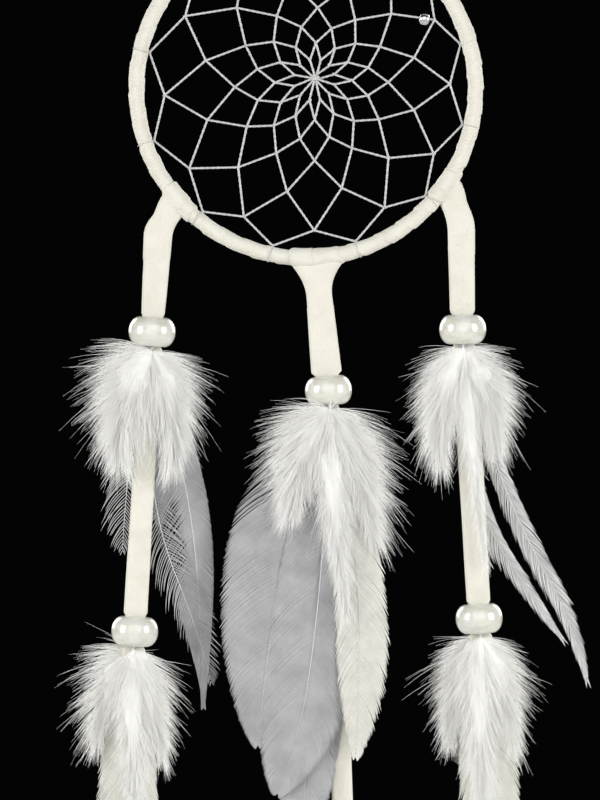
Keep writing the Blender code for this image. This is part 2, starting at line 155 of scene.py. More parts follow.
# Feathers: name, kind, length, leans from the quill to the tip, half widths to the left and right,
# and extras. Lengths are in mm. A lean is in degrees from straight down, and positive to the right.
# Extras of down are its number of hairs, their angles at the root and the tip, and the share of
# long wisps. Extras of a vane are the place of its widest point, how its two edges close, where its
# barbs start, and a torn stretch: side (-1 is left), start and end.
FEATHERS = (
    ("left_upper_down_left", "down", 22, (-38, -22, -10, 4), 11.5, 12.5,
     dict(count=5900, angles=(86, 24))),
    ("left_upper_down_right", "down", 22, (30, 16, 6, -6), 12.0, 10.5,
     dict(count=5500, angles=(68, 22))),
    ("left_upper_long_vane", "grey", 74, (17, 12, 3, 2), 7.6, 3.8,
     dict(widest=0.42, taper=(1.6, 0.9), torn=(-1, 0.36, 0.62))),
    ("left_upper_barbed_vane", "barbed", 70, (-4, 4, 22, 14), 4.0, 5.0,
     dict(widest=0.62, start=0.42)),
    ("left_upper_side_vane", "barbed", 42, (-14, -2), 5.0, 4.5, dict(widest=0.65)),
    ("left_lower_down_front", "down", 36, (-4, 3, 2), 8.0, 9.5,
     dict(count=5900, angles=(60, 20))),
    ("left_lower_down_right", "down", 22, (24, 14, 6), 7.0, 8.5,
     dict(count=3600, angles=(66, 20))),
    ("left_lower_down_left", "down", 20, (-40, -20, -6), 9.5, 7.0,
     dict(count=2600, angles=(84, 24), wisps=0.20)),
    ("left_lower_vane", "cream", 56, (-4, 2), 6.0, 6.0, dict(widest=0.55)),
    ("centre_upper_down_front", "down", 40, (0, 5, 8), 9.0, 9.0,
     dict(count=5900, angles=(66, 14))),
    ("centre_upper_down_left", "down", 21, (-38, -20, -6), 12.0, 9.5,
     dict(count=5200, angles=(80, 26))),
    ("centre_upper_down_right", "down", 26, (26, 20, 10), 9.5, 11.5,
     dict(count=5200, angles=(70, 26))),
    ("centre_cream_vane", "cream", 71, (12, -4), 4.5, 6.0, dict(widest=0.65)),
    ("centre_grey_vane_front", "grey", 79, (-2, -4, -8, -22), 10.0, 8.5, dict(widest=0.70)),
    ("centre_grey_vane_left", "grey", 70, (-20, -4), 11.8, 10.0,
     dict(widest=0.42, torn=(-1, 0.0, 0.24))),
    ("centre_grey_vane_long", "grey", 93, (-3, -5), 6.5, 6.5, dict(widest=0.65)),
    ("centre_lower_down_left", "down", 23, (-30, -14, -4), 9.0, 8.0,
     dict(count=4400, angles=(72, 22))),
    ("centre_lower_down_right", "down", 23, (20, 10, 4), 8.0, 8.5,
     dict(count=4400, angles=(72, 22))),
    ("centre_lower_vane", "grey", 52, (1, -3), 6.5, 6.5, dict(widest=0.55)),
    ("right_upper_down_front", "down", 43, (4, 6, 8), 6.0, 5.5,
     dict(count=4800, angles=(50, 12))),
    ("right_upper_down_left", "down", 23, (-28, -12, 6), 10.0, 9.5,
     dict(count=4900, angles=(66, 24))),
    ("right_upper_down_right", "down", 20, (36, 18, 2), 10.0, 10.0,
     dict(count=4900, angles=(68, 24))),
    ("right_upper_outer_vane", "slim", 73, (12, 20, 29, 12), 2.1, 2.1, dict(widest=0.60)),
    ("right_upper_inner_vane", "slim", 65, (0, 7, 33, 36), 2.4, 1.9,
     dict(widest=0.45, start=0.38)),
    ("right_lower_down_front", "down", 38, (-3, 2, 2), 9.0, 9.5,
     dict(count=5900, angles=(60, 20))),
    ("right_lower_down_right", "down", 22, (28, 16, 6), 7.5, 9.0,
     dict(count=4000, angles=(70, 22))),
    ("right_lower_down_left", "down", 21, (-30, -16, -4), 9.0, 7.5,
     dict(count=4000, angles=(70, 22))),
    ("right_lower_vane", "cream", 56, (4, 3), 6.0, 6.0, dict(widest=0.55)),
)


# ---------------------------------------------------------------- materials

def nodes_of(name):
    """A new material, its node tree and its Principled shader."""
    material = bpy.data.materials.new(name)
    material.use_nodes = True
    tree = material.node_tree
    shader = tree.nodes["Principled BSDF"]
    return material, tree, shader


def add_node(tree, kind, **values):
    """A node whose inputs, or else whose settings, have these values."""
    node = tree.nodes.new(kind)
    for key, value in values.items():
        if key in node.inputs:
            node.inputs[key].default_value = value
        else:
            setattr(node, key, value)
    return node


def ramp(tree, source, stops):
    """A colour ramp over a noise, with stops of (place, colour)."""
    node = tree.nodes.new("ShaderNodeValToRGB")
    elements = node.color_ramp.elements
    while len(elements) < len(stops):
        elements.new(0.5)
    for element, (place, colour) in zip(elements, stops):
        element.position = place
        element.color = (*colour, 1.0)
    tree.links.new(source, node.inputs["Fac"])
    return node.outputs["Color"]


def object_noise(tree, scale, detail=4.0, roughness=0.55, stretch=None):
    """Noise in the object's own space, whose scale is per metre."""
    place = add_node(tree, "ShaderNodeTexCoord").outputs["Object"]
    if stretch is not None:
        mapping = add_node(tree, "ShaderNodeMapping")
        mapping.inputs["Scale"].default_value = stretch
        tree.links.new(place, mapping.inputs["Vector"])
        place = mapping.outputs["Vector"]
    noise = add_node(tree, "ShaderNodeTexNoise", Scale=scale, Detail=detail, Roughness=roughness)
    tree.links.new(place, noise.inputs["Vector"])
    return noise.outputs["Fac"]


def bump(tree, shader, height, strength, distance, after=None):
    """A bump on the shader's normal, on top of an earlier bump where one is given."""
    node = add_node(tree, "ShaderNodeBump", Strength=strength, Distance=distance)
    tree.links.new(height, node.inputs["Height"])
    if after is not None:
        tree.links.new(after.outputs["Normal"], node.inputs["Normal"])
    tree.links.new(node.outputs["Normal"], shader.inputs["Normal"])
    return node


def leather_material():
    """Ivory suede: mottled cream with a fine nap and a few darker flecks."""
    material, tree, shader = nodes_of("ivory_leather")
    patches = object_noise(tree, 260, 5)
    creams = ((0.25, (0.66, 0.635, 0.55)), (0.50, (0.71, 0.69, 0.61)), (0.80, (0.75, 0.73, 0.655)))
    base = ramp(tree, patches, creams)
    flecks = object_noise(tree, 2600, 3, 0.7)
    fleck_mask = ramp(tree, flecks, ((0.60, (0.0, 0.0, 0.0)), (0.78, (1.0, 1.0, 1.0))))
    mix = add_node(tree, "ShaderNodeMix", data_type="RGBA", blend_type="MULTIPLY")
    tree.links.new(fleck_mask, mix.inputs["Factor"])
    tree.links.new(base, mix.inputs[6])
    mix.inputs[7].default_value = (0.80, 0.77, 0.70, 1.0)
    tree.links.new(mix.outputs[2], shader.inputs["Base Color"])
    shader.inputs["Roughness"].default_value = 0.82
    shader.inputs["Specular IOR Level"].default_value = 0.3
    shader.inputs["Sheen Weight"].default_value = 0.25
    shader.inputs["Sheen Roughness"].default_value = 0.5
    wrinkles = bump(tree, shader, object_noise(tree, 700, 4), 0.35, 0.0003)
    bump(tree, shader, flecks, 0.30, 0.0001, wrinkles)
    return material


def pearl_material():
    """Pearl plastic: warm white with faint clouds under a clear gloss."""
    material, tree, shader = nodes_of("pearl")
    clouds = object_noise(tree, 420, 3, 0.5, (1.0, 1.0, 2.2))
    whites = ((0.30, (0.62, 0.61, 0.52)), (0.55, (0.71, 0.70, 0.63)), (0.75, (0.68, 0.68, 0.66)))
    colour = ramp(tree, clouds, whites)
    tree.links.new(colour, shader.inputs["Base Color"])
    shader.inputs["Roughness"].default_value = 0.26
    shader.inputs["Specular IOR Level"].default_value = 0.85
    shader.inputs["Coat Weight"].default_value = 1.0
    shader.inputs["Coat Roughness"].default_value = 0.14
    shader.inputs["Subsurface Weight"].default_value = 0.25
    shader.inputs["Subsurface Radius"].default_value = (0.002, 0.0018, 0.0015)
    shader.inputs["Subsurface Scale"].default_value = 1.0
    bump(tree, shader, clouds, 0.05, 0.0002)
    return material


def thread_material():
    """Waxed light grey thread with a fine twist."""
    material, tree, shader = nodes_of("waxed_thread")
    greys = ((0.3, (0.44, 0.44, 0.44)), (0.7, (0.62, 0.62, 0.61)))
    colour = ramp(tree, object_noise(tree, 1500, 3), greys)
    tree.links.new(colour, shader.inputs["Base Color"])
    shader.inputs["Roughness"].default_value = 0.55
    shader.inputs["Sheen Weight"].default_value = 0.2
    bump(tree, shader, object_noise(tree, 5000, 2), 0.4, 0.00008)
    return material


def silver_material():
    """Polished metal with faint stains, which are rougher."""
    material, tree, shader = nodes_of("silver")
    stain = object_noise(tree, 1800, 4)
    colour = ramp(tree, stain, ((0.35, (0.60, 0.60, 0.61)), (0.65, (0.86, 0.86, 0.87))))
    tree.links.new(colour, shader.inputs["Base Color"])
    shader.inputs["Metallic"].default_value = 1.0
    rough = ramp(tree, stain, ((0.3, (0.34, 0.34, 0.34)), (0.7, (0.16, 0.16, 0.16))))
    tree.links.new(rough, shader.inputs["Roughness"])
    bump(tree, shader, stain, 0.1, 0.0001)
    return material


def steel_material():
    """Dull drawn wire."""
    material, tree, shader = nodes_of("ring_steel")
    greys = ((0.3, (0.42, 0.42, 0.44)), (0.7, (0.62, 0.62, 0.64)))
    colour = ramp(tree, object_noise(tree, 900, 4), greys)
    tree.links.new(colour, shader.inputs["Base Color"])
    shader.inputs["Metallic"].default_value = 1.0
    shader.inputs["Roughness"].default_value = 0.38
    bump(tree, shader, object_noise(tree, 2500, 3), 0.15, 0.0001)
    return material


def feather_material(name, dark, light, translucency, streaks):
    """Keratin barbs: streaked colour, and light that comes through from behind."""
    material, tree, shader = nodes_of(name)
    colour = ramp(tree, object_noise(tree, streaks, 4), ((0.30, dark), (0.70, light)))
    tree.links.new(colour, shader.inputs["Base Color"])
    shader.inputs["Roughness"].default_value = 0.62
    shader.inputs["Specular IOR Level"].default_value = 0.35
    shader.inputs["Sheen Weight"].default_value = 0.15
    bump(tree, shader, object_noise(tree, 6000, 2), 0.2, 0.00005)
    behind = add_node(tree, "ShaderNodeBsdfTranslucent")
    tree.links.new(colour, behind.inputs["Color"])
    mix = add_node(tree, "ShaderNodeMixShader", Fac=translucency)
    tree.links.new(shader.outputs["BSDF"], mix.inputs[1])
    tree.links.new(behind.outputs["BSDF"], mix.inputs[2])
    tree.links.new(mix.outputs["Shader"], tree.nodes["Material Output"].inputs["Surface"])
    return material


LEATHER = leather_material()
PEARL = pearl_material()
THREAD = thread_material()
SILVER = silver_material()
STEEL = steel_material()
QUILL = feather_material("quill", (0.70, 0.70, 0.67), (0.86, 0.86, 0.83), 0.15, 900)
DOWN = feather_material("down_barbs", (0.96, 0.955, 0.93), (0.99, 0.985, 0.965), 0.15, 500)
BARBS = {
    "grey": feather_material("grey_barbs", (0.45, 0.45, 0.46), (0.59, 0.59, 0.605), 0.30, 220),
    "slim": feather_material("slim_barbs", (0.78, 0.78, 0.77), (0.92, 0.92, 0.91), 0.20, 300),
    "barbed": feather_material("dark_barbs", (0.42, 0.42, 0.42), (0.66, 0.66, 0.66), 0.20, 300),
    "cream": feather_material("cream_barbs", (0.74, 0.73, 0.67), (0.88, 0.87, 0.81), 0.25, 300),
}


# ---------------------------------------------------------------- mesh helpers

def mesh_object(name, vertices, polygons, materials, material_index=None):
    """A smooth mesh object from points and a list of index arrays, each (count, corners)."""
    mesh = bpy.data.meshes.new(name)
    mesh.vertices.add(len(vertices))
    mesh.vertices.foreach_set("co", np.ascontiguousarray(vertices, np.float32).ravel())
    corners = np.concatenate([p.ravel() for p in polygons]).astype(np.int32)
    sizes = np.concatenate([np.full(len(p), p.shape[1]) for p in polygons])
    mesh.loops.add(len(corners))
    mesh.loops.foreach_set("vertex_index", corners)
    mesh.polygons.add(len(sizes))
    starts = np.concatenate([[0], np.cumsum(sizes)[:-1]])
    mesh.polygons.foreach_set("loop_start", starts.astype(np.int32))
    if material_index is not None:
        mesh.polygons.foreach_set("material_index", material_index.astype(np.int32))
    mesh.update(calc_edges=True)
    mesh.validate()
    made = bpy.data.objects.new(name, mesh)
    bpy.context.scene.collection.objects.link(made)
    for material in materials:
        mesh.materials.append(material)
    mesh.shade_smooth()
    return made


def unit(vectors):
    return vectors / np.maximum(np.linalg.norm(vectors, axis=-1, keepdims=True), 1e-12)


def strands(paths, across, deep, facing, sides):
    """Closed tapered strands along paths (N, K, 3), and their polygons.

    across and deep are half sizes, (N, K). facing is where their depth points, (3,) or (N, 3).
    """
    count, steps = paths.shape[:2]
    along = unit(np.gradient(paths, axis=1))
    facing = np.broadcast_to(facing, (count, 3)) if np.ndim(facing) == 1 else facing
    side = unit(np.cross(along, facing[:, None, :]))
    up = np.cross(along, side)
    turns = np.arange(sides) * math.tau / sides + (math.pi / 2 if sides == 3 else 0.0)
    ring = (
        np.cos(turns)[None, None, :, None] * side[:, :, None, :] * across[:, :, None, None]
        + np.sin(turns)[None, None, :, None] * up[:, :, None, :] * deep[:, :, None, None]
    )
    vertices = (paths[:, :, None, :] + ring).reshape(-1, 3)
    index = np.arange(count * steps * sides).reshape(count, steps, sides)
    after = np.roll(index, -1, axis=2)
    walls = np.stack([index[:, :-1], after[:, :-1], after[:, 1:], index[:, 1:]], -1).reshape(-1, 4)
    start = index[:, 0, ::-1].reshape(count, sides)
    end = index[:, -1, :].reshape(count, sides)
    return vertices, [walls, start, end]


def joined(parts):
    """Several (vertices, polygons) as one, with each part's number for every polygon."""
    vertices, polygons, numbers, first = [], {}, {}, 0
    for number, (points, lists) in enumerate(parts):
        vertices.append(points)
        for polygon in lists:
            polygons.setdefault(polygon.shape[1], []).append(polygon + first)
            numbers.setdefault(polygon.shape[1], []).append(np.full(len(polygon), number))
        first += len(points)
    sizes = sorted(polygons)
    return (
        np.concatenate(vertices),
        [np.concatenate(polygons[size]) for size in sizes],
        np.concatenate([n for size in sizes for n in numbers[size]]),
    )


def smooth_noise(rng, count, waves=4):
    """A smooth random line of this many values, about -1 to 1."""
    x = np.linspace(0.0, 1.0, count)
    line = np.zeros(count)
    for wave in range(1, waves + 1):
        line += rng.normal(0, 1.0 / wave) * np.sin(math.tau * (wave * x * 0.5 + rng.random()))
    return line


# ---------------------------------------------------------------- hoop

def hoop_points(angle, tube_angle, reach):
    """Points at a reach from the hoop's centre line. tube_angle is 0 outwards, pi / 2 behind."""
    out = np.stack([np.cos(angle), np.zeros_like(angle), np.sin(angle)], -1)
    from_centre = HOOP_RADIUS + reach * np.cos(tube_angle)
    points = HOOP_CENTRE + out * from_centre[..., None]
    points[..., 1] += reach * np.sin(tube_angle)
    return points


def build_wrap():
    """The wound strip: each turn laps over the one before it, with a soft step at its edge."""
    rng = np.random.default_rng(11)
    long_steps, round_steps = WRAP_TURNS * 24, 30
    angle = np.linspace(0, math.tau, long_steps, endpoint=False)[:, None]
    tube = np.linspace(0, math.tau, round_steps, endpoint=False)[None, :]
    wobble = 0.12 * np.sin(3 * angle + 1.0) + 0.10 * np.sin(7 * angle)
    turns_so_far = angle * WRAP_TURNS / math.tau - tube / math.tau + wobble
    phase = turns_so_far % 1.0
    lip = np.where(phase < 0.10, phase / 0.10, 1.0 - 0.75 * (phase - 0.10) / 0.90)
    turn = np.floor(turns_so_far).astype(int) % WRAP_TURNS
    thickness = rng.normal(0, 0.03, WRAP_TURNS)[turn]
    ripple = 0.025 * np.sin(23 * angle + 2 * tube) + 0.02 * np.sin(57 * angle - 3 * tube + 1.0)
    ripple = ripple + 0.015 * np.sin(131 * angle + 5 * tube)
    reach = WRAP_RADIUS - 0.00012 + (0.22 * lip + thickness + ripple) * MM
    points = hoop_points(angle + 0 * tube, tube + 0 * angle, reach)
    index = np.arange(long_steps * round_steps).reshape(long_steps, round_steps)
    along, around = np.roll(index, -1, axis=0), np.roll(index, -1, axis=1)
    both = np.roll(along, -1, axis=1)
    quads = np.stack([index, around, both, along], -1).reshape(-1, 4)
    wrap = mesh_object("leather_wrap", points.reshape(-1, 3), [quads], [LEATHER])
    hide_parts("hoop_wrap")
    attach(wrap, "hoop")


# ---------------------------------------------------------------- web

def web_rows():
    """The hitches' angles, the rows of knots from the hoop inwards, and the web's centre."""
    centre = HOOP_CENTRE + WEB_CENTRE_SHIFT
    angles = np.radians(ANCHOR_DEGREES)
    inner_side = np.full(WEB_POINTS, math.pi)
    rows = [hoop_points(angles, inner_side, np.full(WEB_POINTS, WRAP_RADIUS + THREAD_RADIUS))]
    for pull in ROW_PULLS:
        middles = (rows[-1] + np.roll(rows[-1], -1, axis=0)) / 2
        rows.append(centre + (middles - centre) * pull)
    return angles, rows, centre


def thread(start, end, rng):
    """Two-ply thread between two points, as a twisted oval tube."""
    length = np.linalg.norm(end - start)
    steps = max(int(length / THREAD_STEP), 6)
    t = np.linspace(0, 1, steps)
    path = start + (end - start) * t[:, None]
    direction = unit(end - start)
    side = unit(np.cross(direction, FRONT))
    up = np.cross(direction, side)
    sides = 8
    turns = np.arange(sides) * math.tau / sides
    twist = t * length / THREAD_TWIST * math.pi + rng.random() * math.tau
    lobes = THREAD_RADIUS + PLY_DEPTH * np.cos(2 * (turns[None, :] - twist[:, None]))
    ring = np.cos(turns)[None, :, None] * side + np.sin(turns)[None, :, None] * up
    vertices = (path[:, None, :] + ring * lobes[..., None]).reshape(-1, 3)
    index = np.arange(steps * sides).reshape(steps, sides)
    after = np.roll(index, -1, axis=1)
    walls = np.stack([index[:-1], after[:-1], after[1:], index[1:]], -1).reshape(-1, 4)
    return vertices, [walls, index[:1, ::-1], index[-1:, :]]


def loop_of_thread(centre, axis, major, minor, around=14, sides=6, squeeze=1.0):
    """A closed ring of thread round an axis."""
    axis = unit(axis)
    helper = FRONT if abs(axis @ FRONT) < 0.9 else (1.0, 0.0, 0.0)
    first = unit(np.cross(axis, helper))
    second = np.cross(axis, first)
    a = np.arange(around) * math.tau / around
    b = np.arange(sides) * math.tau / sides
    out = np.cos(a)[:, None] * first + np.sin(a)[:, None] * second * squeeze
    points = (
        centre
        + out[:, None, :] * (major + minor * np.cos(b))[None, :, None]
        + axis * (minor * np.sin(b))[None, :, None]
    )
    index = np.arange(around * sides).reshape(around, sides)
    along, beside = np.roll(index, -1, axis=0), np.roll(index, -1, axis=1)
    both = np.roll(along, -1, axis=1)
    return points.reshape(-1, 3), [np.stack([index, along, both, beside], -1).reshape(-1, 4)]


def build_web():
    """The rows of thread with a knot at each crossing, the tangle in the middle and the hitches."""
    rng = np.random.default_rng(5)
    angles, rows, centre = web_rows()
    parts = []
    for outer, inner in zip(rows, rows[1:]):
        for i in range(WEB_POINTS):
            parts.append(thread(outer[i], inner[i], rng))
            parts.append(thread(outer[(i + 1) % WEB_POINTS], inner[i], rng))
            away = unit(outer[(i + 1) % WEB_POINTS] - outer[i])
            knot = inner[i] + rng.normal(0, 0.00003, 3)
            axis = away + rng.normal(0, 0.25, 3)
            parts.append(loop_of_thread(knot + away * KNOT_ASIDE, axis, *KNOT))
    for knot in rows[-1]:
        parts.append(thread(knot, centre + rng.normal(0, 0.0002, 3), rng))
    for _ in range(CENTRE_LOOPS):
        axis = unit(rng.normal(0, 1, 3) * (1.0, 0.5, 1.0))
        middle = centre + rng.normal(0, 0.0001, 3)
        loop = loop_of_thread(middle, axis, CENTRE_LOOP_RADIUS, THREAD_RADIUS, 18, 6, 0.8)
        parts.append(loop)
    for angle in angles:
        at = hoop_points(np.array(angle), np.array(0.0), np.array(0.0))
        along = np.array((-math.sin(angle), 0.0, math.cos(angle)))
        axis = along + rng.normal(0, 0.08, 3)
        parts.append(loop_of_thread(at, axis, WRAP_RADIUS + TIGHT_THREAD, TIGHT_THREAD, 40, 6))
        out = np.array(WRAP_RADIUS + THREAD_RADIUS)
        inner_edge = hoop_points(np.array(angle), np.array(math.pi), out)
        parts.append(loop_of_thread(inner_edge, along, *HOOP_KNOT))
    vertices, polygons, _ = joined(parts)
    web = mesh_object("web", vertices, polygons, [THREAD])
    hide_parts("web_thread")
    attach(web, "hoop")


# ---------------------------------------------------------------- beads

def lathe(name, profile, steps, middle, axis, materials):
    """A closed (radius, height) profile turned about an axis through its middle."""
    axis = unit(np.array(axis, float))
    first = unit(np.cross(axis, FRONT))
    second = np.cross(axis, first)
    a = np.arange(steps) * math.tau / steps
    out = np.cos(a)[:, None] * first + np.sin(a)[:, None] * second
    profile = np.array(profile)
    points = middle + out[:, None, :] * profile[None, :, 0, None] + axis * profile[None, :, 1, None]
    index = np.arange(points.shape[0] * points.shape[1]).reshape(points.shape[:2])
    along, beside = np.roll(index, -1, axis=0), np.roll(index, -1, axis=1)
    both = np.roll(along, -1, axis=1)
    quads = np.stack([index, beside, both, along], -1).reshape(-1, 4)
    return mesh_object(name, points.reshape(-1, 3), [quads], materials)


def node_middle(name):
    """The middle of a CAD node's box at rest."""
    low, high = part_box(name)
    return np.array((low + high) / 2)


def build_beads():
    """The six pearl beads, round-sided with a rounded rim at the hole, and the metal bead."""
    half, flat = BEAD_HEIGHT / 2, BEAD_RADIUS - BEAD_SIDE
    outside = np.linspace(math.pi / 2, -math.pi / 2, 27)
    profile = [(flat + BEAD_SIDE * math.cos(a), half * math.sin(a)) for a in outside]
    profile += [(BEAD_HOLE + out, -half + inwards) for out, inwards in BEAD_RIM]
    profile += [(BEAD_HOLE + out, half - inwards) for out, inwards in reversed(BEAD_RIM)]
    for drop in DROPS:
        for level in ("upper", "lower"):
            name = f"{drop}_{level}_bead"
            axis = JOINTS[f"{name}_slide"]["axis"]
            bead = lathe(f"{name}_pearl", profile, 72, node_middle(name), axis, [PEARL])
            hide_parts(name)
            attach(bead, name)
    hole, reach, tall = METAL_BEAD_HOLE, METAL_BEAD_RADIUS, METAL_BEAD_HALF
    outside = np.linspace(math.pi / 2 - 0.2, -math.pi / 2 + 0.2, 15)
    profile = [(hole + (reach - hole) * math.cos(a) ** 0.8, tall * math.sin(a)) for a in outside]
    profile += [(hole, -tall * 0.93), (hole, tall * 0.93)]
    axis = JOINTS["web_bead_slide"]["axis"]
    bead = lathe("web_bead_metal", profile, 40, node_middle("web_bead"), axis, [SILVER])
    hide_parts("web_bead")
    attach(bead, "web_bead")


# ---------------------------------------------------------------- laces

def loft(sections):
    """A closed skin over rings of points, (count, corners, 3), with its ends filled."""
    sections = np.array(sections)
    count, corners = sections.shape[:2]
    index = np.arange(count * corners).reshape(count, corners)
    after = np.roll(index, -1, axis=1)
    walls = np.stack([index[:-1], after[:-1], after[1:], index[1:]], -1).reshape(-1, 4)
    return sections.reshape(-1, 3), [walls, index[:1, ::-1], index[-1:, :]]


def strap_ring(middle, along, half_width, half_thick, corners=20, fold=0.0):
    """A flat oval ring: square-shouldered, with a slight hollow down its middle."""
    side = unit(np.cross(along, FRONT))
    up = np.cross(along, side)
    turns = np.arange(corners) * math.tau / corners
    c, s = np.cos(turns), np.sin(turns)
    across = np.sign(c) * np.abs(c) ** 0.45 * half_width
    deep = np.sign(s) * np.abs(s) ** 0.6 * half_thick * (1 - fold * (1 - np.abs(c)))
    return middle + across[:, None] * side + deep[:, None] * up


def build_lace(drop, spec):
    """One folded lace from its hitch on the hoop down to its tail."""
    rng = np.random.default_rng(sum(map(ord, drop)))
    hitch_angle, arc, seam, flare, top, above, below, tail = spec
    pivot = np.array(JOINTS[f"{drop}_drop_swing"]["pos_m"])
    upper, lower = node_middle(f"{drop}_upper_bead"), node_middle(f"{drop}_lower_bead")
    angle = math.radians(hitch_angle)
    on_hoop = hoop_points(np.array(angle), np.array(0.0), np.array(0.0))
    tangent = np.array((-math.sin(angle), 0.0, math.cos(angle)))
    if tangent[0] < 0:
        tangent = -tangent
    down = unit(upper - pivot)
    to_upper, to_lower = np.linalg.norm(upper - pivot), np.linalg.norm(lower - upper)
    lower_way = unit(lower - upper)
    parts = []
    # the band round the hoop, a bent sleeve with soft, uneven ends
    rings = []
    seam_sides = (seam - SEAM_HALF_SHARE, seam + SEAM_HALF_SHARE)
    for share in np.sort(np.append(np.linspace(0, 1, 21), seam_sides)):
        place = angle + (share - 0.5) * arc / HOOP_RADIUS
        middle = hoop_points(np.array(place), np.array(0.0), np.array(0.0))
        out = np.array((math.cos(place), 0.0, math.sin(place)))
        lap = BAND_LAP if share < seam else 0.0
        near_end = max(abs(share - 0.5) * 2 - 0.88, 0) / 0.12
        thick = WRAP_RADIUS + BAND_LAYER + lap - 0.00034 * near_end
        turns = np.arange(28) * math.tau / 28
        reach = thick + 0.00005 * np.sin(3 * turns + 9 * share)
        reach = reach + 0.00003 * np.sin(5 * turns - 14 * share)
        slant = 0.0005 / HOOP_RADIUS * np.sin(turns + 0.6)
        lean = np.stack([-np.sin(place), 0.0, np.cos(place)]) * HOOP_RADIUS
        round_tube = np.cos(turns)[:, None] * out - np.sin(turns)[:, None] * FRONT
        ring = middle + reach[:, None] * round_tube
        rings.append(ring + slant[:, None] * lean)
    parts.append(loft(rings))
    # the gusset, where the strap gathers from the band and turns down
    to_pivot = np.linalg.norm(pivot - on_hoop)
    reach_down = STRAP_START + GUSSET_BELOW_START
    turned = unit(np.cross(FRONT, tangent))
    turned = turned if turned[2] < 0 else -turned
    rings = []
    for d in np.linspace(0, to_pivot + reach_down, 34):
        on_way = [
            on_hoop + (pivot - on_hoop) * max(n, 0) / to_pivot
            if n < to_pivot
            else pivot + down * (n - to_pivot)
            for n in np.linspace(d - GUSSET_CORNER, d + GUSSET_CORNER, 15)
        ]
        middle = np.mean(on_way, axis=0)
        below_hoop = max(d - WRAP_RADIUS, 0)
        ease = 1 - (1 - min(below_hoop / flare, 1.0)) ** 2
        strap = top + (above - top) * max(d - to_pivot, 0) / (to_upper - TURN_HALF_LENGTH)
        half = (arc / 2 * 0.94) * (1 - ease) + (strap / 2 + 0.00010) * ease
        solid = max(1 - d / (to_pivot + 0.002), 0)
        thick = (WRAP_RADIUS - 0.0001) * solid**1.5 + (LACE_LAYER + 0.0001) * (1 - solid**1.5)
        along = unit(turned * (1 - ease) + down * ease)
        sink = 1 - 0.35 * max(d - to_pivot - reach_down + 0.002, 0) / 0.002
        rings.append(strap_ring(middle, along, half * (0.5 + 0.5 * sink), thick * sink, 28))
    parts.append(loft(rings))
    # the strap, two layers that lie on each other, pinched where they pass through a bead
    total = to_upper + to_lower + BEAD_HEIGHT / 2 + TAIL_BELOW_BEAD
    count = 150
    wave, creep = smooth_noise(rng, count, 7) * 0.00010, smooth_noise(rng, count, 9) * 0.00012
    for layer in (-1, 1):
        rings = []
        for i in range(count):
            d = STRAP_START + (total - STRAP_START) * i / (count - 1)
            bend = min(max((d - to_upper + TURN_HALF_LENGTH) / (2 * TURN_HALF_LENGTH), 0), 1)
            way = unit(down * (1 - bend) + lower_way * bend)
            middle = pivot + down * d if d < to_upper else upper + lower_way * (d - to_upper)
            near_upper, near_lower = abs(d - to_upper), abs(d - to_upper - to_lower)
            if d < to_upper:
                width = top + (above - top) * min(max(d / (to_upper - TURN_HALF_LENGTH), 0), 1)
            else:
                width = below + (tail - below) * max(d - to_upper - to_lower, 0) / 0.008
            pinch = 1.0
            for near in (near_upper, near_lower):
                inside = min(max((BEAD_HEIGHT / 2 + PINCH_MARGIN - near) / PINCH_LENGTH, 0), 1)
                pinch = min(pinch, 1 - inside * (1 - PINCHED_WIDTH / width))
            half = width / 2 * pinch + (creep[i] if pinch == 1 else 0) * 0.6
            side = unit(np.cross(way, FRONT))
            shift = side * (layer * 0.00008 + wave[i] * 0.5)
            depth = layer * (LACE_LAYER / 2 + 0.00002)
            middle = middle + shift - FRONT * depth
            rings.append(strap_ring(middle, way, half, LACE_LAYER / 2, 16, 0.12))
        parts.append(loft(rings))
    vertices, polygons, _ = joined(parts)
    lace = mesh_object(f"{drop}_leather_lace", vertices, polygons, [LEATHER])
    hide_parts(f"{drop}_hitch", f"{drop}_lace")
    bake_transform(lace)


# ---------------------------------------------------------------- feathers

class Blade:
    """A feather's middle line and outline, in metres, from its quill."""

    def __init__(self, root, length, leans, halves, widest=0.5, curl=0.0, taper=(0.7, 0.7)):
        self.root, self.length, self.widest, self.curl = root, length, widest, curl
        self.leans = np.radians(leans)
        self.half = {-1: halves[0], 1: halves[1]}
        self.taper = {-1: taper[0], 1: taper[1]}
        fine = np.linspace(0, 1, 201)
        lean = self.lean(fine)
        step = np.stack([np.sin(lean), np.zeros(201), -np.cos(lean)], -1) * length / 200
        walked = np.cumsum((step[1:] + step[:-1]) / 2, axis=0)
        self.line = np.concatenate([np.zeros((1, 3)), walked])

    def lean(self, share):
        return np.interp(share, np.linspace(0, 1, len(self.leans)), self.leans)

    def middle(self, share):
        share = np.clip(share, 0, 1)
        fine = np.linspace(0, 1, 201)
        points = np.stack([np.interp(share, fine, self.line[:, axis]) for axis in range(3)], -1)
        points[..., 1] += self.curl * share**2
        return self.root + points

    def ahead(self, share):
        lean = self.lean(share)
        return np.stack([np.sin(lean), np.zeros_like(lean), -np.cos(lean)], -1)

    def across(self, share):
        lean = self.lean(share)
        return np.stack([np.cos(lean), np.zeros_like(lean), np.sin(lean)], -1)

    def outline(self, share, side):
        """The half width on one side, which opens to the widest point and closes to the tip."""
        opened = np.clip(share, 0, self.widest) / self.widest
        closing = np.clip((share - self.widest) / (1 - self.widest), 0, 1)
        opening_edge = np.sin(math.pi / 2 * opened) ** 0.7
        closing_edge = np.cos(math.pi / 2 * closing) ** self.taper[side]
        return self.half[side] * np.where(share < self.widest, opening_edge, closing_edge)


